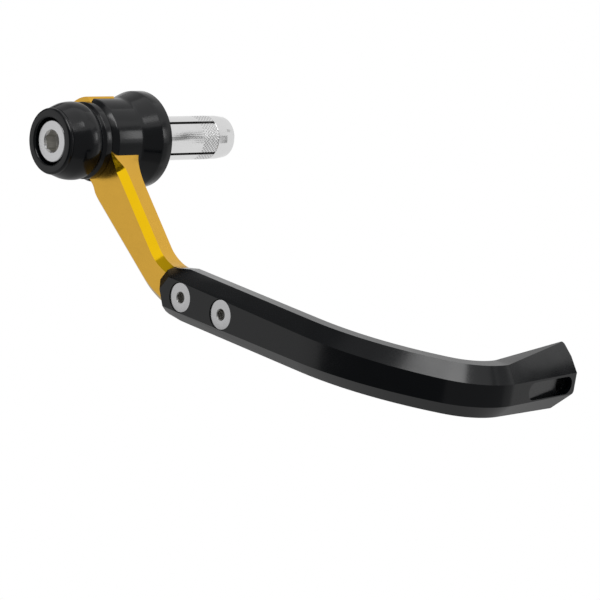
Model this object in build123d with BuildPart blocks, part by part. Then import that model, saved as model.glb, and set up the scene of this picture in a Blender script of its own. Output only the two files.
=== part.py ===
import os
from math import cos, radians, sin

from build123d import *

os.makedirs("parts", exist_ok=True)

# Frame: x runs along the handlebar towards the middle of the bike, -y is forwards, z is up.
# The origin is on the bar axis, in the plane where the flange meets the end of the bar.

# Where the pieces meet along the bar: the cap on the arm, the arm on the slot's floor
arm_front_x = -21.4
slot_floor_x = -11.1
cap_gap = 0.1

# Clamp bolt
bolt_r = 4.0
bolt_head_r = 6.5
bolt_head_height = 8.0
bolt_head_bevel = 0.55
bolt_hex_flats = 6.0
bolt_hex_depth = 4.2
bolt_hex_turn = 10.0
bolt_end_inside = 1.5
bolt_tip_bevel = 0.8
bolt_gap = 0.15
bolt_clear_r = bolt_r + bolt_gap

# End cap
cap_length = 15.0
cap_floor = 6.1
cap_recess_gap = 0.75
cap_recess_r = bolt_head_r + cap_recess_gap
cap_recess_bevel = 0.4
cap_lip_r = 10.1
cap_lip_round = 0.9
cap_swell_at = 8.2
cap_max_r = 11.93
cap_ring_r = 11.77
cap_ring_width = 2.2
cap_ring_edge = 0.2
cap_groove_r = 11.0
cap_groove_width = 2.6
cap_front_x = arm_front_x - cap_length
cap_max_x = cap_front_x + cap_swell_at
bolt_seat_x = arm_front_x - cap_floor
bolt_head_x = bolt_seat_x - bolt_head_height

# Bar end collar
collar_front_x = arm_front_x + cap_gap
collar_r = 12.72
collar_chamfer = 1.75
collar_chamfer_r = 11.4
collar_crease_x = -9.67
collar_rim_width = 3.9
collar_rim_r = 14.88
collar_edge = 0.35
collar_seat_depth = 2.5
collar_seat_r = 6.0
collar_bore_gap = 0.3
collar_bore_r = bolt_r + collar_bore_gap

# Bracket arm, its lengths measured down the arm from the bolt
arm_angle = 43.8
arm_thick = 6.8
arm_bevel = 2.1
arm_neck = 16.0
arm_upper_half = 8.4
arm_lower_half = 8.13
arm_neck_r = 6.0
arm_bend_r = 13.0
arm_under_r = 28.0
shoulder_from = 12.6
shoulder_to = 15.6
tongue_half = 7.5
tongue_gap = 0.06
slot_half = tongue_half + tongue_gap
eye_r = 13.3
hollow_r = 18.0
hollow_from = 10.5
hollow_length = 10.2
arm_back_x = arm_front_x + arm_thick

# Guard blade, its front line straight, then two arcs, then a straight tail
blade_proud = 3.0
blade_z = -34.08
blade_thick = 8.6
blade_front_half = 4.55
blade_top = 7.79
blade_low = 8.05
blade_bevel_top = 4.7
blade_bevel_low = 3.98
blade_back_round = 0.4
blade_straight = 63.2
blade_arc1_r = 80.7
blade_arc1_deg = 33.55
blade_arc2_r = 21.4
blade_arc2_deg = 62.45
blade_tail = 29.3
tip_rise = 3.1
tip_thick = 7.0
blade_x = arm_front_x - blade_proud

# Blade's V nose, in its notch in the arm, and the lap behind it
nose_y = -41.6
nose_rise = 1.75
nose_reach = 14.2
nose_upper_run = 8.5
nose_lower_run = 8.0
nose_gap = 0.15
lap_depth = 2.6
lap_length = 40.4
lap_gap = 0.3
lap_tab_half = 6.3
lap_side_gap = 0.1
lap_slot_half = lap_tab_half + lap_side_gap
lap_mouth_run = 18.5
lap_mouth_rise = 3.7
ledge_x = arm_front_x + lap_depth
lap_end_y = nose_y - lap_length
blade_straight_y = nose_y - blade_straight

# Tip pocket, its places measured along the tail
pocket_end_wall = 1.8
pocket_length = 20.5
pocket_to = blade_tail - pocket_end_wall
pocket_from = pocket_to - pocket_length
pocket_half = 2.65
pocket_depth = 1.75
pocket_tilt = 8.5
tip_hole_at = pocket_to - pocket_half
tip_hole_r = 2.1
tip_corner = 6.6

# Guard screws, their places measured from the nose
screw_first = 12.6
screw_pitch = 18.0
screw_sunk = 0.3
screw_head_r = 4.4
screw_rim = 0.25
screw_r = 2.5
screw_length = 9.1
screw_gap = 0.1
screw_sink_gap = 0.15
screw_hex_flats = 3.0
screw_hex_depth = 2.0
screw_ys = (nose_y - screw_first, nose_y - screw_first - screw_pitch)
screw_top_x = blade_x + screw_sunk
screw_end_x = screw_top_x + screw_length
screw_clear_r = screw_r + screw_gap
screw_sink_r = screw_head_r + screw_sink_gap

# Collet sleeve and expander nut
sleeve_r = 6.85
sleeve_end_x = 26.5
sleeve_root_step = 0.05
sleeve_bore_gap = 0.6
cone_length = 5.5
cone_step = 0.15
cone_taper = 1.15
split_width = 1.0
split_from_x = 5.0
split_turn = 58.0
nut_step = 0.05
nut_edge = 0.2
nut_head = 3.7
nut_slope = 3.1
nut_tip_r = 6.4
nut_end = 0.3
nut_end_r = 6.1
sleeve_bore_r = bolt_r + sleeve_bore_gap
cone_start_x = sleeve_end_x - cone_length
cone_start_r = sleeve_bore_r + cone_step
cone_end_r = cone_start_r + cone_taper
nut_r = sleeve_r - nut_step
nut_edge_x = sleeve_end_x + nut_head
nut_tip_x = nut_edge_x + nut_slope
nut_end_x = nut_tip_x + nut_end
bolt_end_x = nut_end_x - bolt_end_inside

# Directions across the arm
arm_c = cos(radians(arm_angle))
arm_s = sin(radians(arm_angle))


def on_arm(along, across):
    """A point (y, z) so far down the arm, and so far to its upper, forward side."""
    return (-arm_c * along - arm_s * across, -arm_s * along + arm_c * across)


def down_arm(place):
    """How far down the arm a place is."""
    return -arm_c * place.Y - arm_s * place.Z


def side_of_arm(place):
    """How far to the arm's upper, forward side a place is."""
    return -arm_s * place.Y + arm_c * place.Z


def profile_plane(y, z):
    """The plane of x and z through a line parallel with the bar."""
    return Plane(origin=(0, y, z), x_dir=(1, 0, 0), z_dir=(0, -1, 0))


def across_plane(x, turn=0.0):
    """The plane across the bar at x, its own x turned from forwards towards up."""
    turn = radians(turn)
    return Plane(origin=(x, 0, 0), x_dir=(0, -cos(turn), sin(turn)), z_dir=(1, 0, 0))


def blade_plane(place, turn):
    """A plane across the blade: its x goes into the blade, its y up."""
    turn = radians(turn)
    return Plane(
        origin=(place[0], place[1], blade_z),
        x_dir=(cos(turn), sin(turn), 0),
        z_dir=(sin(turn), -cos(turn), 0),
    )


def blade_section(front, top, low, bevel_top, bevel_low, thick):
    """Corners of the blade's section: flat front, two front bevels, rounded off back."""
    r = blade_back_round
    return [
        (0, front),
        (bevel_top, top),
        (thick - r, top),
        (thick, top - r),
        (thick, -low + r),
        (thick - r, -low),
        (bevel_low, -low),
        (0, -front),
    ]


# Places where the blade's line changes
bend_centre = (blade_x + blade_arc1_r, blade_straight_y)
turn1 = radians(blade_arc1_deg)
turn2 = radians(blade_arc1_deg + blade_arc2_deg)
bend1_end = (
    bend_centre[0] - blade_arc1_r * cos(turn1),
    bend_centre[1] - blade_arc1_r * sin(turn1),
)
bend2_centre = (
    bend1_end[0] + blade_arc2_r * cos(turn1),
    bend1_end[1] + blade_arc2_r * sin(turn1),
)
bend2_end = (
    bend2_centre[0] - blade_arc2_r * cos(turn2),
    bend2_centre[1] - blade_arc2_r * sin(turn2),
)


def bend_point(centre, r, deg):
    """A point on one of the blade's two arcs."""
    return (centre[0] - r * cos(radians(deg)), centre[1] - r * sin(radians(deg)), blade_z)


def tail_plane(along, deep, tilt=0.0):
    """A plane facing out of the tail's front, so far along it and so deep in it."""
    out = turn2 - radians(tilt)
    along_x = sin(turn2)
    along_y = -cos(turn2)
    return Plane(
        origin=(
            bend2_end[0] + along_x * along + cos(turn2) * deep,
            bend2_end[1] + along_y * along + sin(turn2) * deep,
            blade_z,
        ),
        x_dir=(sin(out), -cos(out), 0),
        z_dir=(-cos(out), -sin(out), 0),
    )


# End cap: turned, with a lipped front, a swollen barrel and a V groove
with BuildPart() as end_cap:
    with BuildSketch(Plane.XZ):
        with BuildLine():
            Polyline(
                (cap_front_x + 1.5, cap_lip_r),
                (cap_front_x + 1.3, cap_lip_r - 0.25),
                (cap_front_x + 1.1, cap_lip_r),
                (cap_front_x + cap_lip_round, cap_lip_r),
                (cap_front_x + 0.3 * cap_lip_round, cap_lip_r - 0.3 * cap_lip_round),
                (cap_front_x, cap_lip_r - cap_lip_round),
                (cap_front_x, cap_recess_r + cap_recess_bevel),
                (cap_front_x + cap_recess_bevel, cap_recess_r),
                (bolt_seat_x, cap_recess_r),
                (bolt_seat_x, bolt_clear_r),
                (arm_front_x, bolt_clear_r),
                (arm_front_x, cap_ring_r - cap_ring_edge),
                (arm_front_x - cap_ring_edge, cap_ring_r),
                (arm_front_x - cap_ring_width, cap_ring_r),
                (arm_front_x - cap_ring_width - 0.8, cap_groove_r),
                (arm_front_x - cap_ring_width - cap_groove_width, cap_max_r - 0.2),
            )
            ThreePointArc(
                (arm_front_x - cap_ring_width - cap_groove_width, cap_max_r - 0.2),
                (cap_max_x, cap_max_r),
                (cap_max_x - 3.5, cap_max_r - 0.63),
            )
            Line((cap_max_x - 3.5, cap_max_r - 0.63), (cap_front_x + 1.5, cap_lip_r))
        make_face()
    revolve(axis=Axis.X)
end_cap.part.label = "end_cap"
export_step(end_cap.part, "parts/end_cap.step")


# Clamp bolt: socket head sunk in the cap, shank through to the expander nut
with BuildPart() as clamp_bolt:
    with BuildSketch(Plane.XZ):
        with BuildLine():
            Polyline(
                (bolt_head_x, 0),
                (bolt_head_x, bolt_head_r - bolt_head_bevel),
                (bolt_head_x + bolt_head_bevel, bolt_head_r),
                (bolt_seat_x, bolt_head_r),
                (bolt_seat_x, bolt_r),
                (bolt_end_x - bolt_tip_bevel, bolt_r),
                (bolt_end_x, bolt_r - bolt_tip_bevel),
                (bolt_end_x, 0),
                close=True,
            )
        make_face()
    revolve(axis=Axis.X)
    with BuildSketch(across_plane(bolt_head_x)):
        RegularPolygon(radius=bolt_hex_flats / 2, side_count=6, major_radius=False, rotation=bolt_hex_turn)
    extrude(amount=bolt_hex_depth, mode=Mode.SUBTRACT)
clamp_bolt.part.label = "clamp_bolt"
export_step(clamp_bolt.part, "parts/clamp_bolt.step")


# Bar end collar: turned, flared to a flange, cross slotted for the arm's tongue
with BuildPart() as bar_end_collar:
    with BuildSketch(Plane.XZ):
        with BuildLine():
            Polyline(
                (collar_front_x, collar_bore_r),
                (collar_front_x, collar_chamfer_r),
                (collar_front_x + collar_chamfer, collar_r),
                (collar_crease_x, collar_r),
                (-collar_rim_width - collar_edge, collar_rim_r - collar_edge),
                (-collar_rim_width, collar_rim_r),
                (-collar_edge, collar_rim_r),
                (0, collar_rim_r - collar_edge),
                (0, collar_seat_r),
                (-collar_seat_depth, collar_seat_r),
                (-collar_seat_depth, collar_bore_r),
                close=True,
            )
        make_face()
    revolve(axis=Axis.X)
    with BuildSketch(across_plane(slot_floor_x, 180 - arm_angle)):
        Rectangle(4 * collar_r, 2 * slot_half)
    extrude(amount=-(slot_floor_x - collar_front_x + 1), mode=Mode.SUBTRACT)
bar_end_collar.part.label = "bar_end_collar"
export_step(bar_end_collar.part, "parts/bar_end_collar.step")


# Bracket arm: eye in the collar's slot, arm down and forwards, ledge for the blade
with BuildPart() as bracket_arm:
    with BuildSketch(Plane.YZ.offset(arm_front_x)):
        with BuildLine():
            FilletPolyline(
                on_arm(7, tongue_half),
                on_arm(10.5, tongue_half),
                on_arm(arm_neck, arm_upper_half),
                (nose_y + 0.7, blade_z + lap_tab_half),
                (lap_end_y + lap_gap, blade_z + lap_tab_half),
                radius=(arm_neck_r, arm_neck_r, arm_bend_r),
            )
            Line(
                (lap_end_y + lap_gap, blade_z + lap_tab_half),
                (lap_end_y + lap_gap, blade_z - lap_tab_half),
            )
            FilletPolyline(
                (lap_end_y + lap_gap, blade_z - lap_tab_half),
                (nose_y + 1.4, blade_z - lap_tab_half),
                on_arm(shoulder_to, -arm_lower_half),
                on_arm(shoulder_from, -tongue_half),
                on_arm(7, -tongue_half),
                radius=(arm_under_r, arm_neck_r, arm_neck_r),
            )
            Line(on_arm(7, -tongue_half), on_arm(7, tongue_half))
        make_face()
    extrude(amount=slot_floor_x - arm_front_x)
    # The front's long edges are bevelled, but not the eye's upper side or the tab's end
    front_edges = bracket_arm.faces().sort_by(Axis.X)[0].edges()
    below_neck = front_edges.filter_by(
        lambda e: down_arm(e.center()) > arm_neck + 0.5 or side_of_arm(e.center()) < -tongue_half / 2
    )
    chamfer(below_neck.filter_by(lambda e: e.center().Y > lap_end_y + 2), length=arm_bevel)
    # The eye's round end, between the collar's ears
    with BuildSketch(Plane.YZ.offset(arm_front_x)):
        Circle(eye_r)
        with BuildLine():
            Polyline(
                on_arm(-20, tongue_half),
                on_arm(11, tongue_half),
                on_arm(11, -tongue_half),
                on_arm(-20, -tongue_half),
                close=True,
            )
        make_face(mode=Mode.INTERSECT)
    extrude(amount=slot_floor_x - arm_front_x)
    # The back is hollowed from the eye to a thinner arm
    with BuildSketch(Plane(origin=(0, 0, 0), x_dir=(0, -arm_c, -arm_s), z_dir=(0, arm_s, -arm_c))):
        with BuildLine():
            RadiusArc(
                (hollow_from + hollow_length, -arm_back_x),
                (hollow_from, -slot_floor_x),
                hollow_r,
            )
            Polyline(
                (hollow_from, -slot_floor_x),
                (hollow_from, -slot_floor_x - 4),
                (hollow_from + 120, -slot_floor_x - 4),
                (hollow_from + 120, -arm_back_x),
                (hollow_from + hollow_length, -arm_back_x),
            )
        make_face()
    extrude(amount=60, both=True, mode=Mode.SUBTRACT)
    # The ledge, with a V notch for the blade's nose
    with BuildSketch(Plane.YZ.offset(arm_front_x - 1)):
        with BuildLine():
            Polyline(
                (nose_y + nose_gap, blade_z + nose_rise),
                (nose_y + nose_gap - nose_upper_run, blade_z + nose_reach),
                (lap_end_y - 10, blade_z + nose_reach),
                (lap_end_y - 10, blade_z - nose_reach),
                (nose_y + nose_gap - nose_lower_run, blade_z - nose_reach),
                close=True,
            )
        make_face()
    extrude(amount=lap_depth + 1, mode=Mode.SUBTRACT)
    # Holes for the bolt and the two screws
    with BuildSketch(Plane.YZ.offset(arm_front_x - 1)):
        Circle(bolt_clear_r)
    extrude(amount=slot_floor_x - arm_front_x + 2, mode=Mode.SUBTRACT)
    for screw_y in screw_ys:
        with BuildSketch(Plane(origin=(arm_front_x - 1, screw_y, blade_z), x_dir=(0, 1, 0), z_dir=(1, 0, 0))):
            Circle(screw_r)
        extrude(amount=slot_floor_x - arm_front_x + 2, mode=Mode.SUBTRACT)
bracket_arm.part.label = "bracket_arm"
export_step(bracket_arm.part, "parts/bracket_arm.step")


# Guard blade: milled bar, bent inwards in front of the lever
with BuildPart() as guard_blade:
    nose_section = blade_section(
        blade_front_half, blade_top - 2.49, blade_low - 1.15, blade_bevel_top, blade_bevel_low, blade_thick
    )
    start_section = blade_section(
        blade_front_half, blade_top, blade_low, blade_bevel_top, blade_bevel_low, blade_thick
    )
    bend_section = blade_section(
        blade_front_half - 0.61, blade_top, blade_low - 0.2, blade_bevel_top - 0.5, blade_bevel_low, blade_thick
    )
    mid_section = blade_section(
        blade_front_half - 1.15, blade_top, blade_low - 0.6, blade_bevel_top - 0.9, blade_bevel_low, blade_thick
    )
    tail_section = blade_section(
        blade_front_half - 1.4, blade_top, blade_low - 0.5, blade_bevel_top - 1.2, blade_bevel_low, blade_thick
    )
    tip_top = blade_top + tip_rise
    tip_section = [
        (0, blade_front_half - 1.15),
        (tip_thick - 0.5, tip_top),
        (tip_thick - 0.3, tip_top),
        (tip_thick, tip_top - 0.9),
        (tip_thick, 0.9 - blade_low),
        (tip_thick - 0.9, -blade_low),
        (blade_bevel_low, -blade_low),
        (0, 1.65 - blade_front_half),
    ]
    with BuildSketch(blade_plane((blade_x, nose_y + 1.6), 0)):
        Polygon(*nose_section, align=None)
    with BuildSketch(blade_plane((blade_x, nose_y - 10.4), 0)):
        Polygon(*start_section, align=None)
    loft(ruled=True)
    with BuildSketch(blade_plane((blade_x, nose_y - 10.4), 0)):
        Polygon(*start_section, align=None)
    with BuildSketch(blade_plane((blade_x, blade_straight_y), 0)):
        Polygon(*bend_section, align=None)
    loft(ruled=True)
    with BuildLine() as first_bend:
        ThreePointArc(
            (blade_x, blade_straight_y, blade_z),
            bend_point(bend_centre, blade_arc1_r, blade_arc1_deg / 2),
            (bend1_end[0], bend1_end[1], blade_z),
        )
    with BuildSketch(blade_plane((blade_x, blade_straight_y), 0)):
        Polygon(*bend_section, align=None)
    with BuildSketch(blade_plane(bend1_end, blade_arc1_deg)):
        Polygon(*mid_section, align=None)
    sweep(path=first_bend.line, multisection=True)
    with BuildLine() as second_bend:
        ThreePointArc(
            (bend1_end[0], bend1_end[1], blade_z),
            bend_point(bend2_centre, blade_arc2_r, blade_arc1_deg + blade_arc2_deg / 2),
            (bend2_end[0], bend2_end[1], blade_z),
        )
    with BuildSketch(blade_plane(bend1_end, blade_arc1_deg)):
        Polygon(*mid_section, align=None)
    with BuildSketch(blade_plane(bend2_end, blade_arc1_deg + blade_arc2_deg)):
        Polygon(*tail_section, align=None)
    sweep(path=second_bend.line, multisection=True)
    tip_place = (bend2_end[0] + sin(turn2) * blade_tail, bend2_end[1] - cos(turn2) * blade_tail)
    with BuildSketch(blade_plane(bend2_end, blade_arc1_deg + blade_arc2_deg)):
        Polygon(*tail_section, align=None)
    with BuildSketch(blade_plane(tip_place, blade_arc1_deg + blade_arc2_deg)):
        Polygon(*tip_section, align=None)
    loft(ruled=True)
    # The nose is cut to a V that nests in the arm
    with BuildSketch(Plane.YZ.offset(blade_x - 1)):
        with BuildLine():
            Polyline(
                (nose_y, blade_z + nose_rise),
                (nose_y - nose_upper_run, blade_z + nose_reach),
                (nose_y + 12, blade_z + nose_reach),
                (nose_y + 12, blade_z - nose_reach),
                (nose_y - nose_lower_run, blade_z - nose_reach),
                close=True,
            )
        make_face()
    extrude(amount=20, mode=Mode.SUBTRACT)
    # The V's front edges are cut back by one facet above and one below
    with BuildSketch(Plane(origin=(blade_x, nose_y - 3.4, blade_z), z_dir=(-0.95, 0.6, 0.41))):
        Rectangle(60, 60)
    extrude(amount=20, mode=Mode.SUBTRACT)
    with BuildSketch(Plane(origin=(blade_x, nose_y - 3.4, blade_z), z_dir=(-0.67, 0.775, -0.39))):
        Rectangle(60, 60)
    extrude(amount=20, mode=Mode.SUBTRACT)
    # A slot in the back takes the arm's tab
    with BuildSketch(Plane.YZ.offset(ledge_x)):
        with BuildLine():
            Polyline(
                (lap_end_y, blade_z - lap_slot_half),
                (lap_end_y, blade_z + lap_slot_half),
                (nose_y + 12 - lap_mouth_run, blade_z + lap_slot_half),
                (nose_y + 12, blade_z + lap_slot_half + lap_mouth_rise),
                (nose_y + 12, blade_z - lap_slot_half),
                close=True,
            )
        make_face()
    extrude(amount=blade_thick, mode=Mode.SUBTRACT)
    # Countersunk holes for the two screws
    for screw_y in screw_ys:
        with BuildSketch(profile_plane(screw_y, blade_z)):
            with BuildLine():
                Polyline(
                    (blade_x - 1, 0),
                    (blade_x - 1, screw_sink_r),
                    (screw_top_x + screw_rim + screw_head_r - screw_sink_r, screw_sink_r),
                    (screw_top_x + screw_rim + screw_head_r - screw_clear_r, screw_clear_r),
                    (ledge_x + 1, screw_clear_r),
                    (ledge_x + 1, 0),
                    close=True,
                )
            make_face()
        revolve(axis=Axis((0, screw_y, blade_z), (1, 0, 0)), mode=Mode.SUBTRACT)
    # The tip's lower corner is cut off
    with BuildSketch(tail_plane(0, 0)):
        with BuildLine():
            Polyline(
                (blade_tail - 0.5, 1.65 - blade_front_half),
                (blade_tail + 5, 9.39 - blade_front_half),
                (blade_tail + 5, -1.5 * blade_low),
                (blade_tail - 0.5 - tip_corner, -1.5 * blade_low),
                close=True,
            )
        make_face()
    extrude(amount=-15, mode=Mode.SUBTRACT)
    # The tip's pocket runs deeper towards the end and has a through hole
    with BuildSketch(tail_plane((pocket_from + pocket_to) / 2, pocket_depth, -pocket_tilt)):
        SlotOverall(pocket_to - pocket_from, 2 * pocket_half)
    extrude(amount=10, mode=Mode.SUBTRACT)
    with BuildSketch(tail_plane(tip_hole_at, 0)):
        Circle(tip_hole_r)
    extrude(amount=15, both=True, mode=Mode.SUBTRACT)
guard_blade.part.label = "guard_blade"
export_step(guard_blade.part, "parts/guard_blade.step")


# Guard screws: two countersunk socket screws
with BuildPart() as guard_screws:
    for screw_y in screw_ys:
        with BuildSketch(profile_plane(screw_y, blade_z)):
            with BuildLine():
                Polyline(
                    (screw_top_x, 0),
                    (screw_top_x, screw_head_r - 0.1),
                    (screw_top_x + 0.1, screw_head_r),
                    (screw_top_x + screw_rim, screw_head_r),
                    (screw_top_x + screw_rim + screw_head_r - screw_r, screw_r),
                    (screw_end_x - 0.5, screw_r),
                    (screw_end_x, screw_r - 0.5),
                    (screw_end_x, 0),
                    close=True,
                )
            make_face()
        revolve(axis=Axis((0, screw_y, blade_z), (1, 0, 0)))
        with BuildSketch(Plane(origin=(screw_top_x, screw_y, blade_z), x_dir=(0, 1, 0), z_dir=(1, 0, 0))):
            RegularPolygon(radius=screw_hex_flats / 2, side_count=6, major_radius=False)
        extrude(amount=screw_hex_depth, mode=Mode.SUBTRACT)
guard_screws.part.label = "guard_screws"
export_step(guard_screws.part, "parts/guard_screws.step")


# Collet sleeve: split tube that grips inside the handlebar
with BuildPart() as collet_sleeve:
    with BuildSketch(Plane.XZ):
        with BuildLine():
            Polyline(
                (-collar_seat_depth, sleeve_bore_r),
                (-collar_seat_depth, collar_seat_r),
                (0, collar_seat_r),
                (0, sleeve_r - sleeve_root_step),
                (split_from_x, sleeve_r - sleeve_root_step),
                (split_from_x, sleeve_r),
                (sleeve_end_x, sleeve_r),
                (sleeve_end_x, cone_end_r),
                (cone_start_x, cone_start_r),
                (cone_start_x, sleeve_bore_r),
                close=True,
            )
        make_face()
    revolve(axis=Axis.X)
    with BuildSketch(across_plane(split_from_x, split_turn)):
        Rectangle(4 * sleeve_r, split_width)
    extrude(amount=sleeve_end_x - split_from_x + 1, mode=Mode.SUBTRACT)
    with BuildSketch(across_plane(split_from_x, split_turn + 90)):
        Rectangle(4 * sleeve_r, split_width)
    extrude(amount=sleeve_end_x - split_from_x + 1, mode=Mode.SUBTRACT)
collet_sleeve.part.label = "collet_sleeve"
export_step(collet_sleeve.part, "parts/collet_sleeve.step")


# Expander nut: cone inside the sleeve, round head outside it
with BuildPart() as expander_nut:
    with BuildSketch(Plane.XZ):
        with BuildLine():
            Polyline(
                (cone_start_x, bolt_r),
                (cone_start_x, cone_start_r),
                (sleeve_end_x, cone_end_r),
                (sleeve_end_x, nut_r - nut_edge),
                (sleeve_end_x + nut_edge, nut_r),
                (nut_edge_x, nut_r),
                (nut_tip_x, nut_tip_r),
                (nut_end_x, nut_end_r),
                (nut_end_x, bolt_r),
                close=True,
            )
        make_face()
    revolve(axis=Axis.X)
expander_nut.part.label = "expander_nut"
export_step(expander_nut.part, "parts/expander_nut.step")
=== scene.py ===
"""Brake lever guard: a bent blade on a gold arm, clamped to the end of a handlebar."""

from math import asin, atan2, cos, pi, radians, sin, sqrt

import bmesh
import bpy
from bpy.props import FloatProperty, FloatVectorProperty, IntProperty, PointerProperty
from bpy.types import Operator, Panel, PropertyGroup
from mathutils import Matrix, Vector


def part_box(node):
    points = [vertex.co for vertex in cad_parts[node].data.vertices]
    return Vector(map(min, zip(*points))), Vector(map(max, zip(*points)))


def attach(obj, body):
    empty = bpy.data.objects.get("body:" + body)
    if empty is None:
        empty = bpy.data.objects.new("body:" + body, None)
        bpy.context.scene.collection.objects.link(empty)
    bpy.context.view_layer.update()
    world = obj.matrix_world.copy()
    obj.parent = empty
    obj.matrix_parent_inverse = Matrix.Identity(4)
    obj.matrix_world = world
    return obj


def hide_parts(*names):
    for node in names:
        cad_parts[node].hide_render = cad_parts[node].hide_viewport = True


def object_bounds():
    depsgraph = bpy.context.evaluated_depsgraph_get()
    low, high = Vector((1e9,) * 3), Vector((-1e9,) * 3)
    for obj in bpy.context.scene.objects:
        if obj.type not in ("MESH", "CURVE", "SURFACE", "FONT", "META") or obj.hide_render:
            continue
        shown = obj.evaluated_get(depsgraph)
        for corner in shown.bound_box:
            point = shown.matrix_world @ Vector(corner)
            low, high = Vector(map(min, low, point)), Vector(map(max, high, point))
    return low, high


bl_info = {
    "name": "Brake lever guard",
    "version": (1, 0, 0),
    "blender": (4, 5, 0),
    "location": "3D View > Sidebar > Lever guard",
    "description": "Models a motorbike brake lever guard piece by piece around its packed solids",
    "category": "Add Mesh",
}

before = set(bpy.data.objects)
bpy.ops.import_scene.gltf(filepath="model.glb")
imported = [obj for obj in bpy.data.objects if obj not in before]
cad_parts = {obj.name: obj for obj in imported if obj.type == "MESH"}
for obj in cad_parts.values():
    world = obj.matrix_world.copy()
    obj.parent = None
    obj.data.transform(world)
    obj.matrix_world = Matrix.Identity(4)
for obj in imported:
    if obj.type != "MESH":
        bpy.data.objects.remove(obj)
cad_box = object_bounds()
cap_low, cap_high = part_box("end_cap")
collar_low, collar_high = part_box("bar_end_collar")
arm_low, arm_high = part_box("bracket_arm")
blade_low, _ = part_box("guard_blade")
bolt_low, bolt_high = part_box("clamp_bolt")
screw_low, screw_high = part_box("guard_screws")
_, sleeve_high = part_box("collet_sleeve")
nut_low, nut_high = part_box("expander_nut")

# Places and sizes that several pieces share, in metres
BLADE_Z = -0.03408  # the blade's middle line
NOSE_Y = -0.0416  # the point of the blade's nose
NOSE_RISE = 0.00175  # how far that point is above the middle line
TIP_RISE = 0.0031  # how far the tip's upper corner stands over the blade's top
TIP_CHIN = 0.00165  # how far the face's lower edge has risen at the tip
LEDGE_X = -0.0188  # where the blade lies on the arm's tab
TAB_END = -0.0817
ARM_NECK = 0.016  # how far down the arm it is narrowest
SCREW_YS = (-0.0542, -0.0722)
SCREW_RADIUS = 0.0025
SCREW_RIM = 0.00025  # the straight edge of a countersunk head
BOLT_RADIUS = 0.004
BOLT_HOLE = 0.00415
SEAT_RADIUS = 0.006  # the sleeve's seat in the collar
SEAT_DEPTH = 0.0025
CONE_TIP = 0.00475  # radii of the nut's cone inside the sleeve
CONE_BASE = 0.0059

# Modelling limits
MERGE = 1e-7  # points closer than this are one
FLAT = radians(0.3)  # faces that differ less than this become one
SHARP = radians(28)  # edges that bend more than this stay sharp
ALONG_BAR = Matrix.Rotation(pi / 2, 4, "Y")  # turns a tool's own z along the bar

# The stage
WHITE = (1.0, 1.0, 1.0, 1.0)
STAGE_CENTRE = Matrix.Translation((0.0, -0.07, -0.01))
CARD_REACH = 1.1
FLOOR_DROP = 1.3
FLOOR_HALF = 4.0
CAMERA_LENS, CAMERA_SENSOR = 180.0, 36.0
CAMERA_PLACE = Matrix(
    (
        (0.72099, 0.05594, -0.69068, -0.60798),
        (-0.67578, 0.27726, -0.68297, -0.68059),
        (0.15329, 0.95916, 0.23771, 0.1803),
        (0, 0, 0, 1),
    )
)
# Soft boxes that face straight down: name, place, size and how bright they look
LAMPS = (
    ("lamp_over", (-0.235, -0.335, 0.67), (0.25, 0.56), 4.9),
    ("lamp_flare", (0.037, -0.4, 0.67), (0.05, 0.2), 4.9),
)
# Grey cards that only show as reflections: name, bearings and heights in degrees, and tone
CARDS = (
    ("card_front_left", (152, 215), (-40, 34), 0.1),
    ("card_front_high", (200, 216), (34, 44), 0.07),
    ("card_front", (215, 305), (-40, 44), 0.25),
    ("card_right", (305, 322), (-40, 5), 0.4),
    ("card_right_low", (322, 345), (-40, 0), 0.65),
    ("card_right_high", (-58, -25), (29, 40), 0.5),
    ("card_left", (118, 152), (-40, 24), 0.72),
    ("card_back", (85, 128), (24, 65), 0.2),
    ("card_back_low", (128, 150), (24, 34), 0.2),
    ("card_back_left", (128, 168), (34, 65), 0.42),
    ("card_behind", (25, 85), (20, 55), 0.5),
    ("card_behind_low", (25, 62), (-20, 20), 0.62),
    ("card_behind_left", (62, 118), (-20, 20), 0.08),
    ("card_top_right", (-25, 20), (36, 62), 0.8),
    ("card_far_right", (-34, 12), (0, 26), 0.12),
    ("card_under", (0, 150), (-89, -20), 0.42),
    ("card_under_front", (150, 360), (-89, -40), 0.4),
)
# Cards bent round the bar, for the collar, sleeve and nut: name, distance from the bar,
# both ends along it, the turns in degrees where they start and stop at each end, and tone
BANDS = (
    ("band_pale", 0.1, (0.082, 0.35), (-165, -165), (195, 195), 0.82),
    ("band_sleeve", 0.098, (0.0865, 0.104), (-2, 12), (17, 53), 0.16),
    ("band_collar", 0.098, (0.046, 0.066), (16, 16), (36, 36), 4.0),
    ("band_nut", 0.098, (0.111, 0.1158), (-17, -17), (21, 21), 0.05),
    ("band_nut_end", 0.098, (0.16, 0.19), (45, 45), (62, 62), 0.5),
)


# Sizes and colours, shown in the panel


def length(name, description, default):
    """A size in metres."""
    kind = {"precision": 5, "unit": "LENGTH", "subtype": "DISTANCE"}
    return FloatProperty(name=name, description=description, default=default, **kind)


def rotation(name, description, degrees):
    """A turn, given in degrees."""
    kind = {"default": radians(degrees), "unit": "ROTATION", "subtype": "ANGLE"}
    return FloatProperty(name=name, description=description, **kind)


def colour(name, description, default):
    """A colour as the surface's own, before light falls on it."""
    kind = {"min": 0.0, "max": 1.0, "size": 3, "subtype": "COLOR"}
    return FloatVectorProperty(name=name, description=description, default=default, **kind)


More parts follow.
